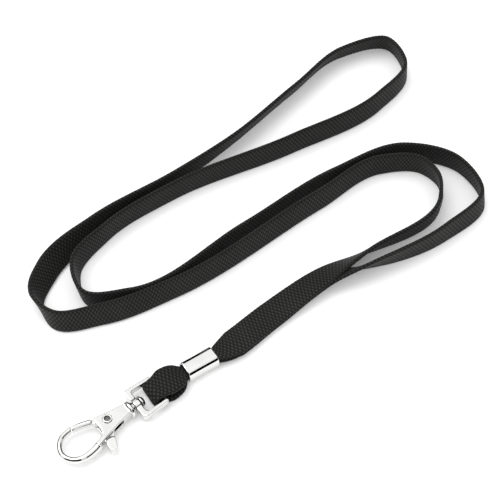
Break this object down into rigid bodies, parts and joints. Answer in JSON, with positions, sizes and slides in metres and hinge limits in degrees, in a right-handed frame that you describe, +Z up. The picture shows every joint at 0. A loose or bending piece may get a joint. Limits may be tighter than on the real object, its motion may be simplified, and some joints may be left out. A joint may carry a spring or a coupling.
{
  "type": "lanyard",
  "caption": "Flat woven neck lanyard closed by a crimped metal sleeve, with a stirrup bail and a swivelling trigger hook with a sprung gate.",
  "frame": {"origin": "on the flat underside of the crimped sleeve, on the surface that the lanyard lies on, straight under the swivel's axis", "axes": "+Z up from the surface; +X along the swivel's axis, from the hook towards the neck loop; +Y to the left of +X, the side of the hook's gate"},
  "size_m": [0.1953, 0.0882, 0.0101],
  "materials": {
    "braid": "black flat tubular braid, matt with a faint sheen",
    "nickel": "bright nickel plate with fine handling marks",
    "spring_steel": "drawn spring wire"
  },
  "bodies": {
    "root": {"neck_strap": "braid", "strap_lug": "braid", "crimp_sleeve": "nickel"},
    "bail": {"bail": "nickel"},
    "hook": {"hook_body": "nickel", "swivel_rivet": "nickel", "pivot_rivet": "nickel", "gate_spring": "spring_steel"},
    "gate": {"gate_lever": "nickel"}
  },
  "joints": [
    {"name": "bail_swing", "type": "hinge", "parent": "root", "child": "bail", "pos_m": [-0.018, 0, 0.003], "axis": [0, 1, 0], "range_deg": [-100, 100]},
    {"name": "hook_swivel", "type": "hinge", "parent": "bail", "child": "hook", "pos_m": [-0.0268, 0, 0.003], "axis": [1, 0, 0], "continuous": true},
    {"name": "gate_pivot", "type": "hinge", "parent": "hook", "child": "gate", "pos_m": [-0.03675, 0.0006, 0.003], "axis": [0, 0, 1], "range_deg": [0, 28], "stiffness_Nm_per_rad": 0.003, "springref_deg": -34.38}
  ]
}
